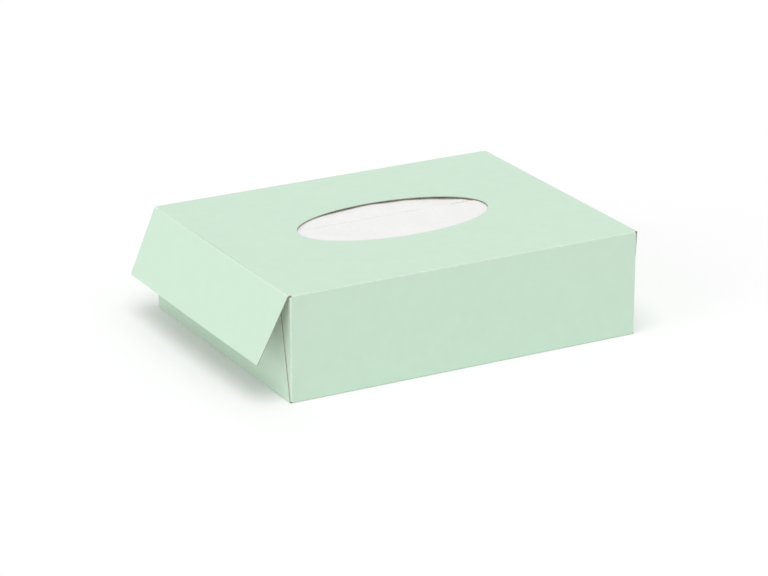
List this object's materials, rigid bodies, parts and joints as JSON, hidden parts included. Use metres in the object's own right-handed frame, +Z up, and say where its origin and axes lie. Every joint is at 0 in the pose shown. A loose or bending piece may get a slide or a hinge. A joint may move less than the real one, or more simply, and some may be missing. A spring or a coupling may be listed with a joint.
{
  "type": "tissue box",
  "caption": "Low folded-board carton of tissues with an oval opening in its top; the upper flap of one end swings open on its crease.",
  "frame": {"origin": "middle of the bottom panel's outer face, on the surface that the box stands on", "axes": "+X along the box, away from the end whose upper flap is open; +Y to the rear; +Z up through the oval"},
  "size_m": [0.2589, 0.185, 0.067],
  "materials": {
    "printed_board": "matte",
    "tissue": "matte"
  },
  "bodies": {
    "carton": {"carton": "printed_board", "tissue_stack": "tissue"},
    "end_flap": {"end_flap": "printed_board"}
  },
  "joints": [
    {"name": "end_flap_hinge", "type": "hinge", "parent": "carton", "child": "end_flap", "pos_m": [-0.11975, 0, 0.06675], "axis": [0, 1, 0], "range_deg": [-25, 155]}
  ]
}
